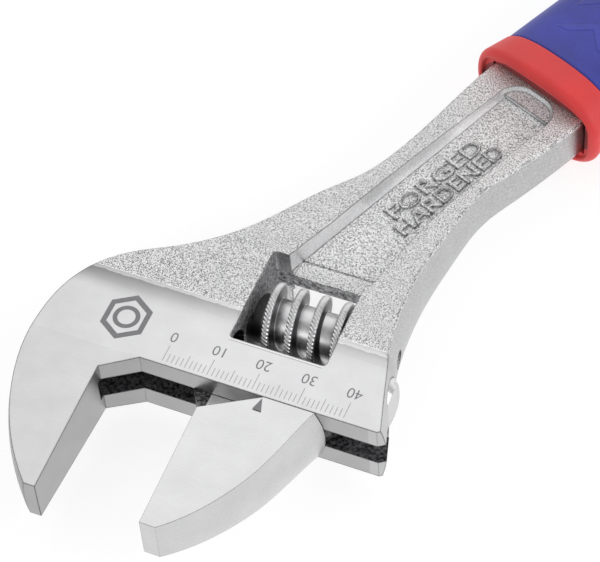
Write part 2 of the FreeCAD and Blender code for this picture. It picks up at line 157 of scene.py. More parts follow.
class WrenchLetters(bpy.types.PropertyGroup):
    """Raised words in the handle's panel."""
    upper: StringProperty(name="Upper word", description="Word nearer the handle's left edge",
                          default="FORGED")
    lower: StringProperty(name="Lower word", description="Word nearer the handle's right edge",
                          default="HARDENED")
    rise: a_length("Rise", "Height of the letters above the panel", 0.55)


class WrenchStudio(bpy.types.PropertyGroup):
    """Floor and lights."""
    floor: a_colour("Floor", "Colour of the paper sweep", "8c8c8c")
    back_panel: a_brightness("Back panel", "Brightness of the large panel behind the handle", 0.62)
    front_panel: a_brightness("Front panel", "Brightness of the panel in front of the jaws", 1.3)
    side_panel: a_brightness("Side panel", "Brightness of the narrow panel on the right", 2.6)
    room: a_brightness("Room", "Brightness of the room between the panels", 0.62)


# ---- shared helpers ----

def add(tree, kind, wires=None, **settings):
    """Adds one shader node, sets it up, and fills its inputs with values or other nodes' outputs."""
    node = tree.nodes.new("ShaderNode" + kind)
    for name, value in settings.items():
        setattr(node, name, value)
    for key, value in (wires or {}).items():
        if isinstance(value, bpy.types.Node):
            value = value.outputs[0]
        if isinstance(value, bpy.types.NodeSocket):
            tree.links.new(value, node.inputs[key])
        else:
            node.inputs[key].default_value = value
    return node


def new_finish(name):
    """Starts an empty material and returns it with its node tree."""
    finish = bpy.data.materials.new(name)
    finish.use_nodes = True
    finish.node_tree.nodes.clear()
    return finish, finish.node_tree


def seen_surface(tree, shader):
    """Ends a material with the shader that shows."""
    add(tree, "OutputMaterial", {"Surface": shader.outputs[0]})


def finish_part(node, finish):
    """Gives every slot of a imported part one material."""
    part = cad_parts[node]
    if not part.material_slots:
        part.data.materials.append(finish)
    for material_slot in part.material_slots:
        material_slot.link = "OBJECT"
        material_slot.material = finish


def new_piece(name, mesh, finish, body):
    """Puts a mesh in the scene as a piece that moves with a body."""
    mesh.materials.clear()
    mesh.materials.append(finish)
    piece = bpy.data.objects.new(name, mesh)
    bpy.context.scene.collection.objects.link(piece)
    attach(piece, body)
    return piece


def on_handle(u, s, z=0.0):
    """A point u across and s along the handle's axis, from the slide edge."""
    along = Vector((math.sin(handle_turn), math.cos(handle_turn), 0.0))
    across = Vector((math.cos(handle_turn), -math.sin(handle_turn), 0.0))
    return Vector((handle_root, slide_edge, z)) + along * s + across * u


# ---- finishes of the steel ----
# A Map Range node goes from input 3 to input 4 while its value goes from input 1 to input 2.

def place_in_mm(tree):
    """The place on the part in millimetres: the vector, x, y and height, and how level the face is."""
    where = add(tree, "TexCoord")
    scaled = add(tree, "VectorMath", {0: where.outputs["Object"], "Scale": 1000.0}, operation="SCALE")
    split = add(tree, "SeparateXYZ", {0: scaled})
    facing = add(tree, "SeparateXYZ", {0: where.outputs["Normal"]})
    upright = add(tree, "Math", {0: facing.outputs[2]}, operation="ABSOLUTE")
    height = add(tree, "Math", {0: split.outputs[2]}, operation="ABSOLUTE")
    return scaled, split.outputs[0], split.outputs[1], height, upright


def place_on_handle(tree, place):
    """Millimetres across the handle from its axis, and along it from the slide edge."""
    cos, sin = math.cos(handle_turn), math.sin(handle_turn)
    root_x, root_y = handle_root / MM, slide_edge / MM
    found = []
    for direction, start in (((cos, -sin, 0.0), root_x * cos - root_y * sin),
                             ((sin, cos, 0.0), root_x * sin + root_y * cos)):
        reach = add(tree, "VectorMath", {0: place, 1: direction}, operation="DOT_PRODUCT")
        found.append(add(tree, "Math", {0: reach.outputs["Value"], 1: start}, operation="SUBTRACT"))
    return found


def distance_from_axis(tree, y, height, axis_y):
    """Millimetres from an axis that runs along X."""
    off_axis = add(tree, "Math", {0: y, 1: axis_y}, operation="SUBTRACT")
    reach = add(tree, "CombineXYZ", {0: off_axis, 1: height})
    return add(tree, "VectorMath", {0: reach}, operation="LENGTH").outputs["Value"]


def edge_sharpness(tree, radius):
    """1 on smooth surface, less within a radius of a sharp edge."""
    broken = add(tree, "Bevel", {"Radius": radius}, samples=6)
    true_normal = add(tree, "NewGeometry").outputs["Normal"]
    turned = add(tree, "VectorMath", {0: broken, 1: true_normal}, operation="DOT_PRODUCT")
    return turned.outputs["Value"]


def shot_blasted_plated_steel():
    """Forged steel, shot blasted and chrome plated, with a ground head and dull insides."""
    made = bpy.context.scene.wrench_finish
    finish, tree = new_finish("shot_blasted_plated_steel")
    place, x, y, height, upright = place_in_mm(tree)
    facing = add(tree, "SeparateXYZ", {0: add(tree, "TexCoord").outputs["Normal"]})
    u, s = place_on_handle(tree, place)
    ridge_y = ridge / MM

    # Uneven edge of the grinding, about 0.3 mm either way.
    wander = add(tree, "TexNoise", {"Vector": place, "Scale": 0.5, "Detail": 3.0, "Roughness": 0.6})
    wander = add(tree, "Math", {0: wander, 1: 0.7, 2: y}, operation="MULTIPLY_ADD")
    ground = add(tree, "MapRange", {0: wander, 1: ridge_y + 0.75, 2: ridge_y + 0.2})
    blasted = add(tree, "Math", {0: 1.0, 1: ground}, operation="SUBTRACT")
    flat = add(tree, "MapRange", {0: upright, 1: 0.62, 2: 0.8})
    steep = add(tree, "MapRange", {0: upright, 1: 0.6, 2: 0.35})

    # The handle's panel, which is wider near the window, from the window's far wall to its round end.
    half_panel = add(tree, "MapRange", {0: s, 1: 42.0, 2: 62.0, 3: 13.0, 4: 9.4})
    in_panel = add(tree, "Math", {0: u, 1: panel_shift, 2: half_panel}, operation="COMPARE")
    panel_length = add(tree, "Math", {0: s, 1: 71.0, 2: 38.0}, operation="COMPARE")
    above_window = add(tree, "Math", {0: y, 1: 54.6}, operation="GREATER_THAN")
    for limit in (panel_length, above_window):
        in_panel = add(tree, "Math", {0: in_panel, 1: limit}, operation="MULTIPLY")
    outer = add(tree, "Math", {0: 1.0, 1: in_panel}, operation="SUBTRACT")
    side = add(tree, "Math", {0: steep, 1: outer}, operation="MULTIPLY")
    sunk = add(tree, "MapRange", {0: height, 1: 3.75, 2: 3.65})
    sunk = add(tree, "Math", {0: sunk, 1: in_panel}, operation="MULTIPLY")
    # Its walls were coined smooth, and are painted brighter than the outer sides, as painted light.
    sloping = add(tree, "MapRange", {0: upright, 1: 0.9, 2: 0.7})
    sloping = add(tree, "Math", {0: in_panel, 1: sloping}, operation="MULTIPLY")
    off_middle = add(tree, "Math", {0: u, 1: panel_shift}, operation="SUBTRACT")
    off_middle = add(tree, "Math", {0: off_middle}, operation="ABSOLUTE")
    by_wall = add(tree, "Math", {0: off_middle, 1: 5.5}, operation="GREATER_THAN")
    by_end = add(tree, "Math", {0: s, 1: 97.0}, operation="GREATER_THAN")
    by_wall = add(tree, "Math", {0: by_wall, 1: by_end}, operation="MAXIMUM")
    coined = add(tree, "Math", {0: sloping, 1: by_wall}, operation="MULTIPLY")
    painted_wall_light = add(tree, "MapRange", {0: coined, 3: 1.0, 4: 1.4})
    # Its round end turns dark towards the right, as a painted dark reflection.
    to_right = add(tree, "MapRange", {0: u, 1: 3.0, 2: 7.5, 3: 1.0, 4: 0.4})
    far_end = add(tree, "MapRange", {0: s, 1: 84.0, 2: 94.0})
    far_end = add(tree, "Math", {0: far_end, 1: coined}, operation="MULTIPLY")
    painted_end_reflection = add(tree, "Mix", {"Factor": far_end, "A": 1.0, "B": to_right}, data_type="FLOAT")
    painted_wall_light = add(tree, "Math", {0: painted_wall_light, 1: painted_end_reflection}, operation="MULTIPLY")
    # The sides of the raised letters get painted shade.
    letter_sides = add(tree, "Math", {0: sloping, 1: coined}, operation="SUBTRACT")

    # The walls of the worm's window are left rough from the forging.
    across_window = add(tree, "Math", {0: x, 1: window_middle[0], 2: window_reach[0]},
                        operation="COMPARE")
    along_window = add(tree, "Math", {0: y, 1: window_middle[1], 2: window_reach[1]},
                       operation="COMPARE")
    window = add(tree, "Math", {0: across_window, 1: along_window}, operation="MULTIPLY")
    window = add(tree, "Math", {0: window, 1: steep}, operation="MULTIPLY")
    # Above the web the window's far wall belongs to the panel and is blasted like it.
    below_panel = add(tree, "Math", {0: y, 1: 54.1}, operation="LESS_THAN")
    by_web = add(tree, "Math", {0: height, 1: 2.4}, operation="LESS_THAN")
    below_panel = add(tree, "Math", {0: below_panel, 1: by_web}, operation="MAXIMUM")
    corner = add(tree, "Math", {0: window, 1: below_panel}, operation="SUBTRACT")
    # The far wall's corner above the web is painted lighter, as painted light.
    painted_corner_light = add(tree, "MapRange", {0: corner, 3: 1.0, 4: 1.7})
    window = add(tree, "Math", {0: window, 1: below_panel}, operation="MULTIPLY")

    # The slot and the bore keep a dark skin with the marks of the cutter, darkened further as painted
    # shade.
    slot_walls = add(tree, "Math", {0: height, 1: half_slot}, operation="LESS_THAN")
    slot_reach = add(tree, "Math", {0: y, 1: 40.0}, operation="LESS_THAN")
    for limit in (slot_reach, flat):
        slot_walls = add(tree, "Math", {0: slot_walls, 1: limit}, operation="MULTIPLY")
    from_axis = distance_from_axis(tree, y, height, rack_axis / MM)
    bore = add(tree, "Math", {0: from_axis, 1: bore_radius}, operation="LESS_THAN")
    in_length = add(tree, "Math", {0: x, 1: 22.6, 2: 30.0}, operation="COMPARE")
    bore = add(tree, "Math", {0: bore, 1: in_length}, operation="MULTIPLY")
    inside = add(tree, "Math", {0: bore, 1: slot_walls}, operation="MAXIMUM")

    # The jaw's gripping face and the edge of the slide are bare ground steel, darker than the plating;
    # part of that darkening is painted shade.
    to_jaw = add(tree, "MapRange", {0: facing.outputs[0], 1: 0.6, 2: 0.8})
    near_face = add(tree, "Math", {0: x, 1: 1.0, 2: 2.2}, operation="COMPARE")
    gripping = add(tree, "Math", {0: to_jaw, 1: near_face}, operation="MULTIPLY")
    gripping = add(tree, "Math", {0: gripping, 1: 1.7}, operation="MULTIPLY")
    to_slide = add(tree, "MapRange", {0: facing.outputs[1], 1: -0.5, 2: -0.75})
    above_mouth = add(tree, "Math", {0: x, 1: 27.0, 2: 30.5}, operation="COMPARE")
    sliding = add(tree, "Math", {0: to_slide, 1: above_mouth}, operation="MULTIPLY")
    bare = add(tree, "Math", {0: gripping, 1: sliding}, operation="MAXIMUM")
    below_slide = add(tree, "Math", {0: y, 1: 26.0}, operation="LESS_THAN")
    bare = add(tree, "Math", {0: bare, 1: below_slide}, operation="MULTIPLY")
    bare_tone_and_painted_shade = add(tree, "MapRange", {0: bare, 3: 1.0, 4: 0.84})

    # Dimples of the shot, which scatter light both ways, in grains and in clusters of grains.
    grain = MM / made.grit
    shot = add(tree, "TexNoise", {"Vector": place, "Scale": grain, "Detail": 3.0, "Roughness": 0.55})
    coarse = add(tree, "TexNoise", {"Vector": place, "Scale": grain * 0.4, "Detail": 2.0})
    dimples = add(tree, "Math", {0: coarse, 1: 0.35, 2: shot}, operation="MULTIPLY_ADD")
    # Grinding lines run along the slide, 0.15 mm apart and far longer than wide.
    stretched = add(tree, "Mapping", {"Vector": place, "Scale": (0.12, 2.4, 2.4)})
    lines = add(tree, "TexNoise", {"Vector": stretched, "Scale": 2.6, "Detail": 4.0, "Roughness": 0.6})
    cloud = add(tree, "TexNoise", {"Vector": place, "Scale": 0.16, "Detail": 3.0, "Roughness": 0.5})
    # Scale torn by the punch and the cutter, in flakes of about 0.8 mm.
    flakes = add(tree, "TexNoise", {"Vector": place, "Scale": 1.3, "Detail": 4.0, "Roughness": 0.75})

    # How deep the dimples are: full on the blasted forging, weak on the sides, none on the ground face.
    rough_sides = add(tree, "MapRange", {0: side, 3: 1.0, 4: 0.22})
    smooth_wall = add(tree, "MapRange", {0: coined, 3: 1.0, 4: 0.25})
    pitting = blasted
    for weaker in (rough_sides, smooth_wall):
        pitting = add(tree, "Math", {0: pitting, 1: weaker}, operation="MULTIPLY")
    for rough_skin, depth in ((window, 2.0), (inside, 1.2)):
        pitting = add(tree, "Math", {0: rough_skin, 1: depth, 2: pitting}, operation="MULTIPLY_ADD")

    # Outer edges and sides get painted shade, a little darker than the broad faces.
    turned_away = add(tree, "MapRange", {0: upright, 1: 0.95, 2: 0.5})
    turned_away = add(tree, "Math", {0: turned_away, 1: outer}, operation="MULTIPLY")
    painted_side_shade = add(tree, "MapRange", {0: turned_away, 3: 1.0, 4: 0.72})
    # The jaw's back, facing away from the light, gets painted shade, mottled by the shot's grain.
    to_back = add(tree, "MapRange", {0: facing.outputs[0], 1: -0.2, 2: -0.7})
    to_back = add(tree, "Math", {0: to_back, 1: turned_away}, operation="MULTIPLY")
    mottle = add(tree, "MapRange", {0: shot, 1: 0.42, 2: 0.58, 3: 0.25, 4: 0.85})
    painted_back_shade = add(tree, "Mix", {"Factor": to_back, "A": 1.0, "B": mottle}, data_type="FLOAT")
    painted_side_shade = add(tree, "Math", {0: painted_side_shade, 1: painted_back_shade}, operation="MULTIPLY")
    # Sharp edges and creases get painted shade as fine darker lines.
    sharpness = edge_sharpness(tree, 0.5 * MM)
    painted_edge_shade = add(tree, "MapRange", {0: sharpness, 1: 0.99, 2: 0.92, 3: 1.0, 4: 0.22})
    # Patchy darker dashes run along the forging's rounded outer edges.
    rounded = add(tree, "Math", {0: upright, 1: 0.8, 2: 0.14}, operation="COMPARE")
    patchy = add(tree, "TexNoise", {"Vector": place, "Scale": 0.9, "Detail": 3.0, "Roughness": 0.7})
    dashes = add(tree, "MapRange", {0: patchy, 1: 0.42, 2: 0.58})
    for limit in (rounded, outer):
        dashes = add(tree, "Math", {0: dashes, 1: limit}, operation="MULTIPLY")
    dashes = add(tree, "MapRange", {0: dashes, 3: 1.0, 4: 0.5})
    painted_edge_shade = add(tree, "Math", {0: painted_edge_shade, 1: dashes}, operation="MULTIPLY")

    # The web's bevel down to the window gets a painted highlight, and ends in a painted dark crease
    # shade.
    uneven = add(tree, "Math", {0: wander, 1: 0.35}, operation="SUBTRACT")
    painted_bevel_light_and_crease = add(tree, "Math", {0: uneven, 1: 56.0, 2: 1.45}, operation="COMPARE")
    crease_band = add(tree, "Math", {0: y, 1: 57.8, 2: 0.24}, operation="COMPARE")
    painted_bevel_light_and_crease = add(tree, "Math", {0: crease_band, 1: -1.3, 2: painted_bevel_light_and_crease}, operation="MULTIPLY_ADD")
    painted_bevel_light_and_crease = add(tree, "Math", {0: painted_bevel_light_and_crease, 1: sunk}, operation="MULTIPLY")
    painted_bevel_light_and_crease = add(tree, "MapRange", {0: painted_bevel_light_and_crease, 1: -1.3, 2: 1.0, 3: 0.4, 4: 1.35})

    # Painted shade darkens the plating over the last 5 mm before the grinding's run-out, most of all at
    # the left.
    runout_shade_depth = add(tree, "MapRange", {0: x, 1: -14.0, 2: 30.0, 3: 0.46, 4: 0.86})
    painted_face_light = add(tree, "MapRange", {0: y, 1: ridge_y - 6.0, 2: ridge_y - 0.8, 3: 1.0, 4: runout_shade_depth},
                  interpolation_type="SMOOTHSTEP")
    # Painted shade also darkens the plating a little towards the left.
    painted_left_shade = add(tree, "MapRange", {0: x, 1: -14.0, 2: 20.0, 3: 0.93, 4: 1.04})
    painted_face_light = add(tree, "Math", {0: painted_face_light, 1: painted_left_shade}, operation="MULTIPLY")
    # A painted highlight draws a bright lip at the run-out's end, wider at the right.
    lip_width = add(tree, "MapRange", {0: x, 1: 30.0, 2: 46.0, 3: 0.42, 4: 0.8})
    painted_lip_highlight = add(tree, "Math", {0: wander, 1: ridge_y + 0.1, 2: lip_width}, operation="COMPARE")
    painted_lip_highlight = add(tree, "Math", {0: painted_lip_highlight, 1: flat}, operation="MULTIPLY")
    painted_face_light = add(tree, "Math", {0: painted_lip_highlight, 1: 0.5, 2: painted_face_light}, operation="MULTIPLY_ADD")
    # Along the window's near edge runs a painted highlight: a bright line with a painted darker line
    # before it.
    along_edge = add(tree, "Math", {0: x, 1: 32.8, 2: 10.4}, operation="COMPARE")
    painted_edge_highlight = add(tree, "Math", {0: y, 1: 30.6, 2: 0.22}, operation="COMPARE")
    painted_shade_before_edge = add(tree, "Math", {0: y, 1: 30.24, 2: 0.14}, operation="COMPARE")
    painted_edge_highlight = add(tree, "Math", {0: painted_shade_before_edge, 1: -1.6, 2: painted_edge_highlight}, operation="MULTIPLY_ADD")
    painted_edge_highlight = add(tree, "Math", {0: painted_edge_highlight, 1: along_edge}, operation="MULTIPLY")
    painted_face_light = add(tree, "Math", {0: painted_edge_highlight, 1: 0.2, 2: painted_face_light}, operation="MULTIPLY_ADD")

    # Colour: satin plating with its painted shade and light, the blasted forging mottled by the dimples
    # with painted glints, then the window's and the slot's darker skins, the slot's with painted shade.
    satin = add(tree, "MapRange", {0: cloud, 1: 0.3, 2: 0.7, 3: 0.955, 4: 1.03})
    for shade in (painted_side_shade, bare_tone_and_painted_shade, painted_face_light, painted_wall_light, painted_edge_shade):
        satin = add(tree, "Math", {0: satin, 1: shade}, operation="MULTIPLY")
    satin = add(tree, "VectorMath", {0: tuple(made.plating), "Scale": satin}, operation="SCALE")
    painted_letter_shade = add(tree, "MapRange", {0: letter_sides, 3: 1.0, 4: 0.5})
    # The panel's sunk floor gets painted shade.
    painted_recess_shade = add(tree, "MapRange", {0: sunk, 3: 1.0, 4: 0.88})
    # The shot's grain tone, at up to almost twice the forging colour, is partly painted glints.
    grain_and_painted_glints = add(tree, "MapRange", {0: shot, 1: 0.42, 2: 0.58, 3: 0.34, 4: 1.96})
    for shade in (painted_corner_light, painted_side_shade, painted_letter_shade, painted_recess_shade, painted_bevel_light_and_crease, painted_edge_shade):
        grain_and_painted_glints = add(tree, "Math", {0: grain_and_painted_glints, 1: shade}, operation="MULTIPLY")
    grain_and_painted_glints = add(tree, "VectorMath", {0: tuple(made.forging), "Scale": grain_and_painted_glints}, operation="SCALE")
    torn = add(tree, "MapRange", {0: flakes, 1: 0.36, 2: 0.64, 3: 0.15, 4: 1.9})
    torn = add(tree, "VectorMath", {0: from_hex("b0b0b2"), "Scale": torn}, operation="SCALE")
    dark_skin_and_shade = add(tree, "MapRange", {0: flakes, 1: 0.38, 2: 0.64, 3: 0.1, 4: 2.4})
    dark_skin_and_shade = add(tree, "VectorMath", {0: tuple(made.shadow), "Scale": dark_skin_and_shade}, operation="SCALE")
    colour = satin
    for where, over in ((pitting, grain_and_painted_glints), (window, torn), (inside, dark_skin_and_shade)):
        mixed = add(tree, "Mix", {"Factor": where, "A": colour, "B": over}, data_type="RGBA")
        colour = mixed.outputs["Result"]

    # Gloss: the ground face is satin, the blasted faces a little duller, the insides dull.
    dull = add(tree, "MapRange", {0: lines, 1: 0.3, 2: 0.7, 3: 0.26, 4: 0.36})
    for rougher, amount in ((pitting, 0.1), (inside, 0.3)):
        dull = add(tree, "Math", {0: rougher, 1: amount, 2: dull}, operation="MULTIPLY_ADD")

    # Edges are broken by tumbling, and much rounder along the left of the window.
    left_wall = add(tree, "Math", {0: x, 1: 22.2, 2: 1.6}, operation="COMPARE")
    left_wall = add(tree, "Math", {0: left_wall, 1: along_window}, operation="MULTIPLY")
    round_edge = add(tree, "Math", {0: left_wall, 1: 0.9 * MM, 2: made.edge}, operation="MULTIPLY_ADD")
    broken_edge = add(tree, "Bevel", {"Radius": round_edge}, samples=6)
    lined = add(tree, "Bump", {"Strength": 0.25, "Distance": 0.02 * MM, "Height": lines,
                               "Normal": broken_edge})
    pitted = add(tree, "Bump", {"Strength": pitting, "Distance": 0.24 * MM, "Height": dimples,
                                "Normal": lined})
    steel = add(tree, "BsdfPrincipled", {"Base Color": colour, "Metallic": 1.0, "Roughness": dull,
                                         "Normal": pitted})
    seen_surface(tree, steel)
    return finish


def ground_jaw_steel():
    """The movable jaw: satin ground faces, dull neck and rack, tumbled edges."""
    made = bpy.context.scene.wrench_finish
    finish, tree = new_finish("ground_jaw_steel")
    place, x, y, height, upright = place_in_mm(tree)
    # The neck and the rack, all that goes into the head, stay dull; the rack's end is polished.
    neck = add(tree, "Math", {0: y, 1: slide_edge / MM - 6.7}, operation="GREATER_THAN")
    inner = add(tree, "Math", {0: height, 1: 2.86}, operation="LESS_THAN")
    left_of_face = add(tree, "Math", {0: x, 1: 22.97}, operation="LESS_THAN")
    for limit in (inner, left_of_face):
        neck = add(tree, "Math", {0: neck, 1: limit}, operation="MULTIPLY")
    above = add(tree, "MapRange", {0: y, 1: slide_edge / MM - 0.1, 2: slide_edge / MM + 0.1})
    hidden = add(tree, "Math", {0: neck, 1: above}, operation="MAXIMUM")
    covered = add(tree, "Math", {0: x, 1: 54.8}, operation="LESS_THAN")
    hidden = add(tree, "Math", {0: hidden, 1: covered}, operation="MULTIPLY")
    # Painted shade darkens the jaw's steep sides.
    side = add(tree, "MapRange", {0: upright, 1: 0.6, 2: 0.35, 3: 1.0, 4: 0.8})
    stretched = add(tree, "Mapping", {"Vector": place, "Scale": (0.15, 2.0, 2.0)})
    lines = add(tree, "TexNoise", {"Vector": stretched, "Scale": 2.4, "Detail": 4.0, "Roughness": 0.6})
    cloud = add(tree, "TexNoise", {"Vector": place, "Scale": 0.14, "Detail": 3.0, "Roughness": 0.5})
    chatter = add(tree, "TexNoise", {"Vector": place, "Scale": 1.6, "Detail": 4.0, "Roughness": 0.65})
    tone = add(tree, "MapRange", {0: cloud, 1: 0.3, 2: 0.7, 3: 0.95, 4: 1.03})
    # Painted shade draws the jaw's sharp edges as darker lines.
    sharpness = edge_sharpness(tree, made.edge)
    painted_edge_shade = add(tree, "MapRange", {0: sharpness, 1: 0.99, 2: 0.92, 3: 1.0, 4: 0.42})
    for shade in (side, painted_edge_shade):
        tone = add(tree, "Math", {0: tone, 1: shade}, operation="MULTIPLY")
    satin = add(tree, "VectorMath", {0: tuple(made.jaw), "Scale": tone}, operation="SCALE")
    worn = add(tree, "MapRange", {0: chatter, 1: 0.4, 2: 0.66, 3: 0.06, 4: 0.75})
    bare = add(tree, "VectorMath", {0: from_hex("a8a8aa"), "Scale": worn}, operation="SCALE")
    colour = add(tree, "Mix", {"Factor": hidden, "A": satin, "B": bare}, data_type="RGBA")
    gloss = add(tree, "MapRange", {0: lines, 1: 0.3, 2: 0.7, 3: 0.24, 4: 0.34})
    dull = add(tree, "Math", {0: hidden, 1: 0.14, 2: gloss}, operation="MULTIPLY_ADD")
    broken_edge = add(tree, "Bevel", {"Radius": made.edge}, samples=6)
    lined = add(tree, "Bump", {"Strength": 0.2, "Distance": 0.02 * MM, "Height": lines,
                               "Normal": broken_edge})
    rubbed = add(tree, "Bump", {"Strength": hidden, "Distance": 0.12 * MM, "Height": chatter,
                                "Normal": lined})
    steel = add(tree, "BsdfPrincipled", {"Base Color": colour.outputs["Result"], "Metallic": 1.0,
                                         "Roughness": dull, "Normal": rubbed})
    seen_surface(tree, steel)
    return finish


def turned_worm_steel():
    """The worm: a turned bright core, thread sides darkened as painted shadow, and a bright knurled
    crest.
    """
    finish, tree = new_finish("turned_worm_steel")
    place, x, y, height = place_in_mm(tree)[:4]
    from_axis = distance_from_axis(tree, y, height, (worm_low[1] + worm_high[1]) / 2 / MM)
    # The thread's sides get a dark colour as painted shadow.
    low_side = add(tree, "MapRange", {0: from_axis, 1: 5.35, 2: 5.6})
    high_side = add(tree, "MapRange", {0: from_axis, 1: 7.9, 2: 7.6})
    painted_flank_shadow = add(tree, "Math", {0: low_side, 1: high_side}, operation="MULTIPLY")
    # Rings of the turning tool round the core, drawn 0.3 mm apart, coarser than the real feed.
    rings = add(tree, "Mapping", {"Vector": place, "Scale": (3.3, 0.05, 0.05)})
    turning = add(tree, "TexNoise", {"Vector": rings, "Scale": 1.0, "Detail": 2.0})
    smear = add(tree, "TexNoise", {"Vector": place, "Scale": 1.1, "Detail": 4.0, "Roughness": 0.6})
    tone = add(tree, "MapRange", {0: smear, 1: 0.3, 2: 0.7, 3: 0.8, 4: 1.0})
    # Painted shadow darkens the core at the spring's end.
    end_x = worm_low[0] / MM
    painted_end_shadow = add(tree, "MapRange", {0: x, 1: end_x + 2.0, 2: end_x + 3.0, 3: 0.2, 4: 1.0})
    on_core = add(tree, "MapRange", {0: from_axis, 1: 5.6, 2: 5.4})
    painted_end_shadow = add(tree, "Mix", {"Factor": on_core, "A": 1.0, "B": painted_end_shadow}, data_type="FLOAT")
    tone = add(tree, "Math", {0: tone, 1: painted_end_shadow}, operation="MULTIPLY")
    bright = add(tree, "VectorMath", {0: from_hex("e6e6e7"), "Scale": tone}, operation="SCALE")
    colour = add(tree, "Mix", {"Factor": painted_flank_shadow, "A": bright, "B": from_hex("5e5e60") + (1.0,)},
                 data_type="RGBA")
    gloss = add(tree, "MapRange", {0: smear, 1: 0.3, 2: 0.7, 3: 0.3, 4: 0.42})
    ringed = add(tree, "Bump", {"Strength": 0.3, "Distance": 0.03 * MM, "Height": turning})
    steel = add(tree, "BsdfPrincipled", {"Base Color": colour.outputs["Result"], "Metallic": 1.0,
                                         "Roughness": gloss, "Normal": ringed})
    seen_surface(tree, steel)
    return finish


def drawn_wire_steel(name, tone, gloss):
    """Drawn round stock for the pin and the spring, with faint lines along it."""
    finish, tree = new_finish(name)
    place = place_in_mm(tree)[0]
    stretched = add(tree, "Mapping", {"Vector": place, "Scale": (0.2, 3.0, 3.0)})
    lines = add(tree, "TexNoise", {"Vector": stretched, "Scale": 2.0, "Detail": 3.0})
    shade = add(tree, "MapRange", {0: lines, 1: 0.3, 2: 0.7, 3: 0.82, 4: 1.0})
    colour = add(tree, "VectorMath", {0: from_hex(tone), "Scale": shade}, operation="SCALE")
    polish = add(tree, "MapRange", {0: lines, 1: 0.3, 2: 0.7, 3: gloss, 4: gloss + 0.12})
    drawn = add(tree, "Bump", {"Strength": 0.3, "Distance": 0.02 * MM, "Height": lines})
    steel = add(tree, "BsdfPrincipled", {"Base Color": colour, "Metallic": 1.0, "Roughness": polish,
                                         "Normal": drawn})
    seen_surface(tree, steel)
    return finish


def laser_marked_steel(name, shade):
    """Oxide left by the marking laser: grey, matt, slightly uneven."""
    finish, tree = new_finish(name)
    place = place_in_mm(tree)[0]
    burn = add(tree, "TexNoise", {"Vector": place, "Scale": 2.2, "Detail": 3.0, "Roughness": 0.6})
    tone = add(tree, "MapRange", {0: burn, 1: 0.3, 2: 0.7, 3: 0.85, 4: 1.12})
    colour = add(tree, "VectorMath", {0: tuple(shade), "Scale": tone}, operation="SCALE")
    matt = add(tree, "MapRange", {0: burn, 1: 0.3, 2: 0.7, 3: 0.5, 4: 0.7})
    pitted = add(tree, "Bump", {"Strength": 0.4, "Distance": 0.02 * MM, "Height": burn})
    oxide = add(tree, "BsdfPrincipled", {"Base Color": colour, "Metallic": 0.35, "Roughness": matt,
                                         "Normal": pitted})
    seen_surface(tree, oxide)
    return finish


# ---- finishes of the grip ----

def moulded_soft_rubber():
    """Red collar and cap: soft moulded rubber with a spark-eroded grain and faint rub marks."""
    made = bpy.context.scene.wrench_finish
    finish, tree = new_finish("moulded_soft_rubber")
    place, _, _, height, _ = place_in_mm(tree)
    grain = add(tree, "TexNoise", {"Vector": place, "Scale": 3.2, "Detail": 3.0, "Roughness": 0.6})
    cloud = add(tree, "TexNoise", {"Vector": place, "Scale": 0.12, "Detail": 3.0})
    tone = add(tree, "MapRange", {0: cloud, 1: 0.3, 2: 0.7, 3: 0.93, 4: 1.05})
    fleck = add(tree, "MapRange", {0: grain, 1: 0.3, 2: 0.7, 3: 0.95, 4: 1.04})
    # Inside the collar's mouth the rubber gets painted shade.
    u, s = place_on_handle(tree, place)
    across = add(tree, "Math", {0: u, 1: 15.5}, operation="DIVIDE")
    upward = add(tree, "Math", {0: height, 1: 8.0}, operation="DIVIDE")
    rim = add(tree, "CombineXYZ", {0: across, 1: upward})
    rim = add(tree, "VectorMath", {0: rim}, operation="LENGTH")
    mouth = add(tree, "Math", {0: rim.outputs["Value"], 1: 1.02}, operation="LESS_THAN")
    near_start = add(tree, "Math", {0: s, 1: 108.0}, operation="LESS_THAN")
    mouth = add(tree, "Math", {0: mouth, 1: near_start}, operation="MULTIPLY")
    painted_mouth_shade = add(tree, "MapRange", {0: mouth, 3: 1.0, 4: 0.35})
    for shade in (fleck, painted_mouth_shade):
        tone = add(tree, "Math", {0: tone, 1: shade}, operation="MULTIPLY")
    colour = add(tree, "VectorMath", {0: tuple(made.red), "Scale": tone}, operation="SCALE")
    matt = add(tree, "MapRange", {0: cloud, 1: 0.3, 2: 0.7, 3: 0.46, 4: 0.58})
    grained = add(tree, "Bump", {"Strength": 0.35, "Distance": 0.03 * MM, "Height": grain})
    rubber = add(tree, "BsdfPrincipled", {"Base Color": colour, "Roughness": matt, "Normal": grained,
                                          "Specular IOR Level": 0.4, "Sheen Weight": 0.15,
                                          "Sheen Roughness": 0.5})
    seen_surface(tree, rubber)
    return finish


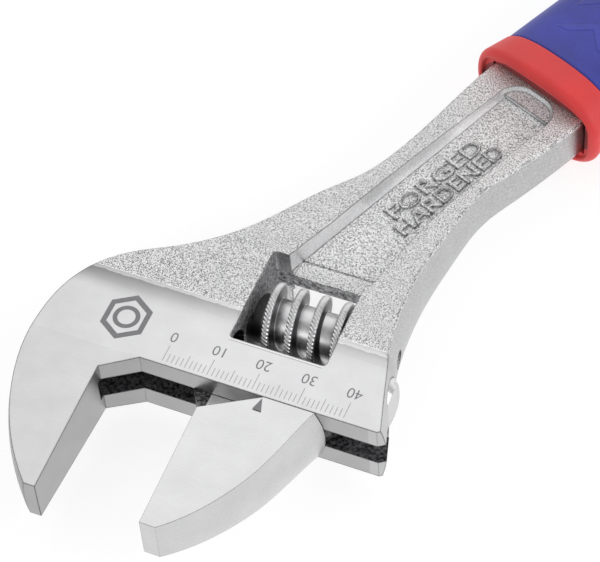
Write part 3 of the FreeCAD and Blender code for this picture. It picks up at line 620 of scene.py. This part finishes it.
def moulded_grip_vinyl():
    """Blue sleeve: firm moulded vinyl with shallow raised chevrons down both broad faces."""
    made = bpy.context.scene.wrench_finish
    finish, tree = new_finish("moulded_grip_vinyl")
    place, _, _, _, upright = place_in_mm(tree)
    u, s = place_on_handle(tree, place)
    across = add(tree, "Math", {0: u}, operation="ABSOLUTE")
    # Chevrons 11 mm apart, with arms 2.2 mm wide that lean forward by 0.9 of their reach.
    leaning = add(tree, "Math", {0: across, 1: 0.9, 2: s}, operation="MULTIPLY_ADD")
    cycle = add(tree, "Math", {0: leaning, 1: 11.0}, operation="FLOORED_MODULO")
    off_line = add(tree, "Math", {0: cycle, 1: 5.5}, operation="SUBTRACT")
    off_line = add(tree, "Math", {0: off_line}, operation="ABSOLUTE")
    arm = add(tree, "MapRange", {0: off_line, 1: 1.5, 2: 1.1})
    reach = add(tree, "MapRange", {0: across, 1: 8.6, 2: 8.2})
    front = add(tree, "MapRange", {0: s, 1: 121.0, 2: 121.6})
    back = add(tree, "MapRange", {0: s, 1: 187.0, 2: 186.4})
    face = add(tree, "MapRange", {0: upright, 1: 0.55, 2: 0.7})
    chevrons = arm
    for limit in (reach, front, back, face):
        chevrons = add(tree, "Math", {0: chevrons, 1: limit}, operation="MULTIPLY")
    grain = add(tree, "TexNoise", {"Vector": place, "Scale": 3.4, "Detail": 3.0, "Roughness": 0.6})
    cloud = add(tree, "TexNoise", {"Vector": place, "Scale": 0.1, "Detail": 3.0})
    tone = add(tree, "MapRange", {0: cloud, 1: 0.3, 2: 0.7, 3: 0.82, 4: 1.12})
    fleck = add(tree, "MapRange", {0: grain, 1: 0.3, 2: 0.7, 3: 0.8, 4: 1.14})
    tone = add(tree, "Math", {0: tone, 1: fleck}, operation="MULTIPLY")
    tone = add(tree, "Math", {0: chevrons, 1: 0.06, 2: tone}, operation="MULTIPLY_ADD")
    colour = add(tree, "VectorMath", {0: tuple(made.blue), "Scale": tone}, operation="SCALE")
    matt = add(tree, "MapRange", {0: cloud, 1: 0.3, 2: 0.7, 3: 0.42, 4: 0.52})
    smoother = add(tree, "Math", {0: chevrons, 1: -0.08, 2: matt}, operation="MULTIPLY_ADD")
    grained = add(tree, "Bump", {"Strength": 0.4, "Distance": 0.03 * MM, "Height": grain})
    raised = add(tree, "Bump", {"Strength": 0.7, "Distance": 0.3 * MM, "Height": chevrons,
                                "Normal": grained})
    vinyl = add(tree, "BsdfPrincipled", {"Base Color": colour, "Roughness": smoother, "Normal": raised,
                                         "Specular IOR Level": 0.4, "Sheen Weight": 0.1,
                                         "Sheen Roughness": 0.5})
    seen_surface(tree, vinyl)
    return finish


# ---- the worm ----

def turn_about_worm(mesh, outline, segments):
    """Turns a closed outline of (x, radius) points about the worm's axis."""
    axis_y = (worm_low[1] + worm_high[1]) / 2
    axis_z = (worm_low[2] + worm_high[2]) / 2
    rings = []
    for i in range(segments):
        angle = 2 * math.pi * i / segments
        rings.append([mesh.verts.new((x, axis_y + r * math.cos(angle), axis_z + r * math.sin(angle)))
                      for x, r in outline])
    for i in range(segments):
        near, far = rings[i], rings[(i + 1) % segments]
        for j in range(len(outline)):
            k = (j + 1) % len(outline)
            mesh.faces.new((near[j], near[k], far[k], far[j]))


def thread_section(worm, tip):
    """Offsets and radii across the thread, from one side of its root over the crest to the other."""
    half_crest, half_root = worm.crest / 2, worm.root / 2
    points = [(-half_root, worm.core - 0.2 * MM, False),
              (-half_root + 0.06 * MM, worm.core + 0.3 * MM, False),
              (-half_crest - 0.05 * MM, tip - worm.crown - 0.45 * MM, False)]
    for i in range(9):
        t = -1 + i / 4
        drop = worm.crown * abs(t) ** 2.5
        points.append((half_crest * t, tip - drop, True))
    points += [(-x, r, knurled) for x, r, knurled in reversed(points[:3])]
    return points


def thread_reach(section, offset):
    """Radius that the thread reaches at a distance from its middle."""
    for (near, near_radius, _), (far, far_radius, _) in zip(section, section[1:]):
        if near <= -abs(offset) <= far:
            return near_radius + (far_radius - near_radius) * (-abs(offset) - near) / (far - near)
    return section[0][1]


def knurled_thread(mesh, worm, tip):
    """Winds the thread right-handed and rolls slanted teeth into its crest."""
    axis_y = (worm_low[1] + worm_high[1]) / 2
    axis_z = (worm_low[2] + worm_high[2]) / 2
    section = thread_section(worm, tip)
    steps = worm.teeth * 6
    first = math.floor((worm_low[0] - worm.root - worm.phase) / worm.pitch * steps)
    last = math.ceil((worm_high[0] + worm.root - worm.phase) / worm.pitch * steps)
    inset = 0.02 * MM
    low, high = worm_low[0] + inset, worm_high[0] - inset
    rows = []
    for i in range(first, last + 1):
        angle = 2 * math.pi * i / steps
        centre = worm.phase + worm.pitch * i / steps
        row = []
        # Past the worm's end only the flank that still stands inside it is kept.
        past_end = max(centre - high, low - centre, 0.0)
        limit = thread_reach(section, past_end) if past_end else tip
        for offset, radius, knurled in section:
            if knurled:
                lag = offset * math.tan(worm.slant) / tip
                wave = 0.5 - 0.5 * math.cos(worm.teeth * (angle - lag))
                edge = 1.0 - 0.35 * (2 * offset / worm.crest) ** 2
                radius -= worm.depth * wave ** 1.5 * edge
            x = min(max(centre + offset, low), high)
            if x in (low, high):
                radius = min(radius, limit)
            row.append(mesh.verts.new((x, axis_y + radius * math.cos(angle),
                                       axis_z + radius * math.sin(angle))))
        rows.append(row)
    for near, far in zip(rows, rows[1:]):
        for j in range(len(section) - 1):
            corners = (near[j], far[j], far[j + 1], near[j + 1])
            places = [corner.co.x for corner in corners]
            if max(places) > low and min(places) < high:
                mesh.faces.new(corners)


class WRENCH_OT_worm(bpy.types.Operator):
    """Makes the worm with its turned core, spring pocket and knurled thread"""
    bl_idname = "wrench.worm"
    bl_label = "Worm"

    def execute(self, context):
        worm = context.scene.wrench_worm
        tip = (worm_high[1] - worm_low[1]) / 2
        low, high = worm_low[0], worm_high[0]
        bore, pocket, chamfer = 2.06 * MM, 3.7 * MM, 0.35 * MM
        outline = [(low, pocket), (low, worm.core - chamfer), (low + chamfer, worm.core),
                   (high - chamfer, worm.core), (high, worm.core - chamfer), (high, bore + 0.2 * MM),
                   (high - 0.2 * MM, bore), (low + worm.pocket, bore), (low + worm.pocket, pocket)]
        built = bmesh.new()
        turn_about_worm(built, outline, 120)
        knurled_thread(built, worm, tip)
        loose = [v for v in built.verts if not v.link_faces]
        bmesh.ops.delete(built, geom=loose, context="VERTS")
        bmesh.ops.recalc_face_normals(built, faces=built.faces)
        mesh = bpy.data.meshes.new("worm")
        built.to_mesh(mesh)
        built.free()
        mesh.polygons.foreach_set("use_smooth", [True] * len(mesh.polygons))
        mesh.set_sharp_from_angle(angle=math.radians(48))
        piece = new_piece("worm", mesh, turned_worm_steel(), "knurl")
        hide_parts("adjusting_knurl")
        return {"FINISHED"}


# ---- markings ----

def add_plate(built, outline, low, high):
    """Adds a thin plate with the given outline between two heights."""
    bottom = [built.verts.new((x, y, low)) for x, y in outline]
    top = [built.verts.new((x, y, high)) for x, y in outline]
    built.faces.new(top)
    built.faces.new(list(reversed(bottom)))
    for i in range(len(outline)):
        j = (i + 1) % len(outline)
        built.faces.new((bottom[i], bottom[j], top[j], top[i]))


def add_frame(built, outer, inner, low, high):
    """Adds a thin plate between an outer and an inner outline with as many points."""
    rings = [[built.verts.new((x, y, z)) for x, y in line]
             for line, z in ((outer, high), (inner, high), (inner, low), (outer, low))]
    for ring, other in zip(rings, rings[1:] + rings[:1]):
        for i in range(len(outer)):
            j = (i + 1) % len(outer)
            built.faces.new((ring[i], ring[j], other[j], other[i]))


def add_word(built, text, height, length, place, thick, bevel, offset=0.0):
    """Adds the outlines of a word as solid letters, fitted to a height and a length, at a place."""
    letters = bpy.data.curves.new("letters", "FONT")
    letters.body = text
    letters.align_x = "CENTER"
    letters.size = height / 0.729
    letters.offset = offset
    letters.extrude = max(thick / 2 - bevel, 0.0)
    letters.bevel_depth = bevel
    letters.bevel_resolution = 2
    letters.resolution_u = 6
    holder = bpy.data.objects.new("letters", letters)
    shape = bpy.data.meshes.new_from_object(holder)
    xs = [v.co.x for v in shape.vertices]
    ys = [v.co.y for v in shape.vertices]
    stretch = (length / (max(xs) - min(xs))) if length else 1.0
    middle = Vector(((max(xs) + min(xs)) / 2, (max(ys) + min(ys)) / 2, 0.0))
    scale = Matrix.Diagonal((stretch, height / (max(ys) - min(ys)), 1.0, 1.0))
    shape.transform(place @ scale @ Matrix.Translation(-middle))
    built.from_mesh(shape)
    bpy.data.objects.remove(holder)
    bpy.data.curves.remove(letters)
    bpy.data.meshes.remove(shape)


def finish_mesh(built, name, smooth_below=None):
    """Turns the built shape into a mesh."""
    bmesh.ops.recalc_face_normals(built, faces=built.faces)
    mesh = bpy.data.meshes.new(name)
    built.to_mesh(mesh)
    built.free()
    if smooth_below:
        mesh.polygons.foreach_set("use_smooth", [True] * len(mesh.polygons))
        mesh.set_sharp_from_angle(angle=smooth_below)
    return mesh


class WRENCH_OT_marks(bpy.types.Operator):
    """Makes the millimetre scale, its numbers, the plain nut mark and the jaw's pointer"""
    bl_idname = "wrench.marks"
    bl_label = "Laser marks"

    def execute(self, context):
        marks = context.scene.wrench_marks
        made = context.scene.wrench_finish
        finish = laser_marked_steel("laser_marked_steel", made.mark)
        fine = laser_marked_steel("fine_laser_lines", made.fine_mark)
        low, high = face_height - 0.01 * MM, face_height + 0.012 * MM
        half = marks.line / 2

        built = bmesh.new()
        for i in range(marks.span + 1):
            x = marks.zero + i * MM
            end = {0: 4.9, 5: 3.9}.get(i % 10, 3.0) * MM
            near, far = slide_edge + marks.start, slide_edge + end
            add_plate(built, [(x - half, near), (x + half, near), (x + half, far), (x - half, far)],
                      low, high)
        new_piece("scale_lines", finish_mesh(built, "scale_lines"), fine, "head")

        built = bmesh.new()
        for value in range(0, marks.span + 1, 10):
            place = Matrix.Translation((marks.zero + value * MM, slide_edge + marks.row, face_height))
            place = place @ Matrix.Rotation(math.pi, 4, "Z")
            add_word(built, str(value), marks.digit, None, place, 0.024 * MM, 0.0, -0.012 * MM)
        new_piece("scale_numbers", finish_mesh(built, "scale_numbers"), finish, "head")

        # A plain hexagon nut, its hole drawn as a ring, standing on one corner.
        built = bmesh.new()
        middle = Vector((0.3 * MM, slide_edge + 8.4 * MM))
        corner = marks.nut / 2 / math.cos(math.pi / 6)
        for outer, inner, points, taller in ((corner, corner - 1.3 * MM, 6, 1.1),
                                             (2.9 * MM, 1.9 * MM, 48, 1.0)):
            turns = [2 * math.pi * i / points for i in range(points)]
            rims = [[(middle.x + r * math.sin(a), middle.y + r * taller * math.cos(a)) for a in turns]
                    for r in (outer, inner)]
            add_frame(built, rims[0], rims[1], low, high)
        new_piece("nut_mark", finish_mesh(built, "nut_mark"), finish, "head")

        # The pointer lies on the jaw's tapering face; its outline is a flat triangle at the face's
        # height.
        built = bmesh.new()
        outline = [(34.74 * MM, slide_edge - 0.4 * MM), (33.8 * MM, slide_edge - 3.5 * MM),
                   (35.7 * MM, slide_edge - 3.5 * MM)]
        add_plate(built, outline, low, high)
        new_piece("jaw_pointer", finish_mesh(built, "jaw_pointer"), finish, "jaw")
        return {"FINISHED"}


class WRENCH_OT_letters(bpy.types.Operator):
    """Makes the two raised words in the handle's panel"""
    bl_idname = "wrench.letters"
    bl_label = "Raised words"

    def execute(self, context):
        words = context.scene.wrench_letters
        panel = 3.0 * MM
        built = bmesh.new()
        lay = Matrix.Rotation(math.pi / 2 - handle_turn, 4, "Z")
        for text, height, start, end, u in ((words.upper, 3.9, 60.5, 88.3, -0.1),
                                            (words.lower, 3.7, 58.6, 90.2, 4.3)):
            middle = on_handle(u * MM, (start + end) / 2 * MM, panel)
            place = Matrix.Translation(middle) @ lay
            add_word(built, text, height * MM, (end - start) * MM, place, words.rise * 2, 0.28 * MM,
                     -0.16 * MM)
        mesh = finish_mesh(built, "raised_words", math.radians(40))
        new_piece("raised_words", mesh, bpy.data.materials["shot_blasted_plated_steel"], "head")
        return {"FINISHED"}


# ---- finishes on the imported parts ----

class WRENCH_OT_finishes(bpy.types.Operator):
    """Gives the body, jaw, pin, spring and grip their materials"""
    bl_idname = "wrench.finishes"
    bl_label = "Finishes"

    def execute(self, context):
        finish_part("body", shot_blasted_plated_steel())
        finish_part("movable_jaw", ground_jaw_steel())
        finish_part("knurl_pin", drawn_wire_steel("drawn_pin_steel", "c4c4c6", 0.24))
        finish_part("knurl_spring", drawn_wire_steel("drawn_spring_steel", "9a9a9c", 0.3))
        rubber = moulded_soft_rubber()
        finish_part("grip_collar", rubber)
        finish_part("grip_cap", rubber)
        finish_part("grip_sleeve", moulded_grip_vinyl())
        return {"FINISHED"}


# ---- stage ----

def panel_light(name, direction, distance, size, brightness):
    """Hangs a rectangular softbox; brightness is what a mirror facing it would show."""
    lamp = bpy.data.lights.new(name, "AREA")
    lamp.shape = "RECTANGLE"
    lamp.size, lamp.size_y = size
    lamp.energy = brightness * math.pi * size[0] * size[1]
    holder = bpy.data.objects.new(name, lamp)
    bpy.context.scene.collection.objects.link(holder)
    out = Vector(direction).normalized()
    holder.location = wrench_middle + out * distance
    holder.rotation_euler = (-out).to_track_quat("-Z", "Y").to_euler()


class WRENCH_OT_stage(bpy.types.Operator):
    """Makes the paper sweep, the room, the softboxes and the camera"""
    bl_idname = "wrench.stage"
    bl_label = "Studio"

    def execute(self, context):
        studio = context.scene.wrench_studio
        finish, tree = new_finish("pale_paper")
        place = add(tree, "TexCoord").outputs["Object"]
        fibre = add(tree, "TexNoise", {"Vector": place, "Scale": 900.0, "Detail": 3.0})
        tone = add(tree, "MapRange", {0: fibre, 1: 0.3, 2: 0.7, 3: 0.985, 4: 1.0})
        colour = add(tree, "VectorMath", {0: tuple(studio.floor), "Scale": tone}, operation="SCALE")
        paper = add(tree, "BsdfPrincipled", {"Base Color": colour, "Roughness": 0.9,
                                             "Emission Color": (1.0, 1.0, 1.0, 1.0),
                                             "Emission Strength": 0.8, "Specular IOR Level": 0.1})
        seen_surface(tree, paper)
        built = bmesh.new()
        bmesh.ops.create_grid(built, x_segments=8, y_segments=8, size=2.5)
        floor_mesh = bpy.data.meshes.new("floor")
        built.to_mesh(floor_mesh)
        built.free()
        floor_mesh.materials.append(finish)
        floor = bpy.data.objects.new("floor", floor_mesh)
        floor.location = wrench_middle + Vector((0.0, 0.0, cad_box[0][2]))
        context.scene.collection.objects.link(floor)

        # The room is brighter near the walls and dimmer overhead, which shades the grinding's run-out.
        world = bpy.data.worlds.new("room")
        context.scene.world = world
        world.use_nodes = True
        tree = world.node_tree
        tree.nodes.clear()
        where = add(tree, "TexCoord")
        split = add(tree, "SeparateXYZ", {0: where.outputs["Generated"]})
        rising = add(tree, "MapRange", {0: split.outputs[2], 1: 0.02, 2: 0.4, 3: 0.35, 4: 1.0})
        closing = add(tree, "MapRange", {0: split.outputs[2], 1: 0.55, 2: 1.0, 3: 1.0, 4: 0.55})
        up = add(tree, "Math", {0: rising, 1: closing}, operation="MULTIPLY")
        strength = add(tree, "Math", {0: up, 1: studio.room}, operation="MULTIPLY")
        room = add(tree, "Background", {"Color": (1.0, 1.0, 1.0, 1.0), "Strength": strength})
        add(tree, "OutputWorld", {"Surface": room})

        panel_light("back_panel", (-0.29, 0.54, 0.79), 0.9, (1.6, 1.05), studio.back_panel)
        panel_light("front_panel", (-0.2, -0.78, 0.58), 0.9, (0.9, 0.35), studio.front_panel)
        panel_light("side_panel", (0.86, 0.05, 0.48), 0.8, (0.8, 0.35), studio.side_panel)

        camera = bpy.data.cameras.new("camera")
        camera.lens = 161.66
        camera.sensor_width = 36.0
        camera.clip_start = 0.01
        camera.clip_end = 10.0
        holder = bpy.data.objects.new("camera", camera)
        context.scene.collection.objects.link(holder)
        right = Vector((0.9202, 0.3882, -0.0506))
        up = Vector((-0.2795, 0.7419, 0.6095))
        back = Vector((0.2742, -0.5467, 0.7912))
        stand = Matrix((right, up, back)).transposed().to_4x4()
        stand.translation = Vector((183.88, -257.03, 451.13)) * MM
        holder.matrix_world = stand
        context.scene.camera = holder
        context.scene.view_settings.view_transform = "Standard"
        return {"FINISHED"}


# ---- panel and registration ----

class WRENCH_PT_tools(bpy.types.Panel):
    """Lists the wrench's sizes, colours and making steps"""
    bl_idname = "WRENCH_PT_tools"
    bl_label = "Adjustable Wrench"
    bl_space_type = "VIEW_3D"
    bl_region_type = "UI"
    bl_category = "Wrench"

    def draw(self, context):
        layout = self.layout
        for group, step in zip(groups, steps):
            box = layout.box()
            values = getattr(context.scene, group)
            for name in values.__annotations__:
                box.prop(values, name)
            box.operator(step.bl_idname)


groups = {"wrench_finish": WrenchFinish, "wrench_worm": WrenchWorm, "wrench_marks": WrenchMarks,
          "wrench_letters": WrenchLetters, "wrench_studio": WrenchStudio}
steps = (WRENCH_OT_finishes, WRENCH_OT_worm, WRENCH_OT_marks, WRENCH_OT_letters, WRENCH_OT_stage)


def register():
    for name, group in groups.items():
        bpy.utils.register_class(group)
        setattr(bpy.types.Scene, name, PointerProperty(type=group))
    for step in steps:
        bpy.utils.register_class(step)
    bpy.utils.register_class(WRENCH_PT_tools)


def unregister():
    bpy.utils.unregister_class(WRENCH_PT_tools)
    for step in reversed(steps):
        bpy.utils.unregister_class(step)
    for name, group in reversed(list(groups.items())):
        delattr(bpy.types.Scene, name)
        bpy.utils.unregister_class(group)


def main():
    register()
    bpy.ops.wrench.finishes()
    bpy.ops.wrench.worm()
    bpy.ops.wrench.marks()
    bpy.ops.wrench.letters()
    bpy.ops.wrench.stage()


if __name__ == "__main__":
    main()
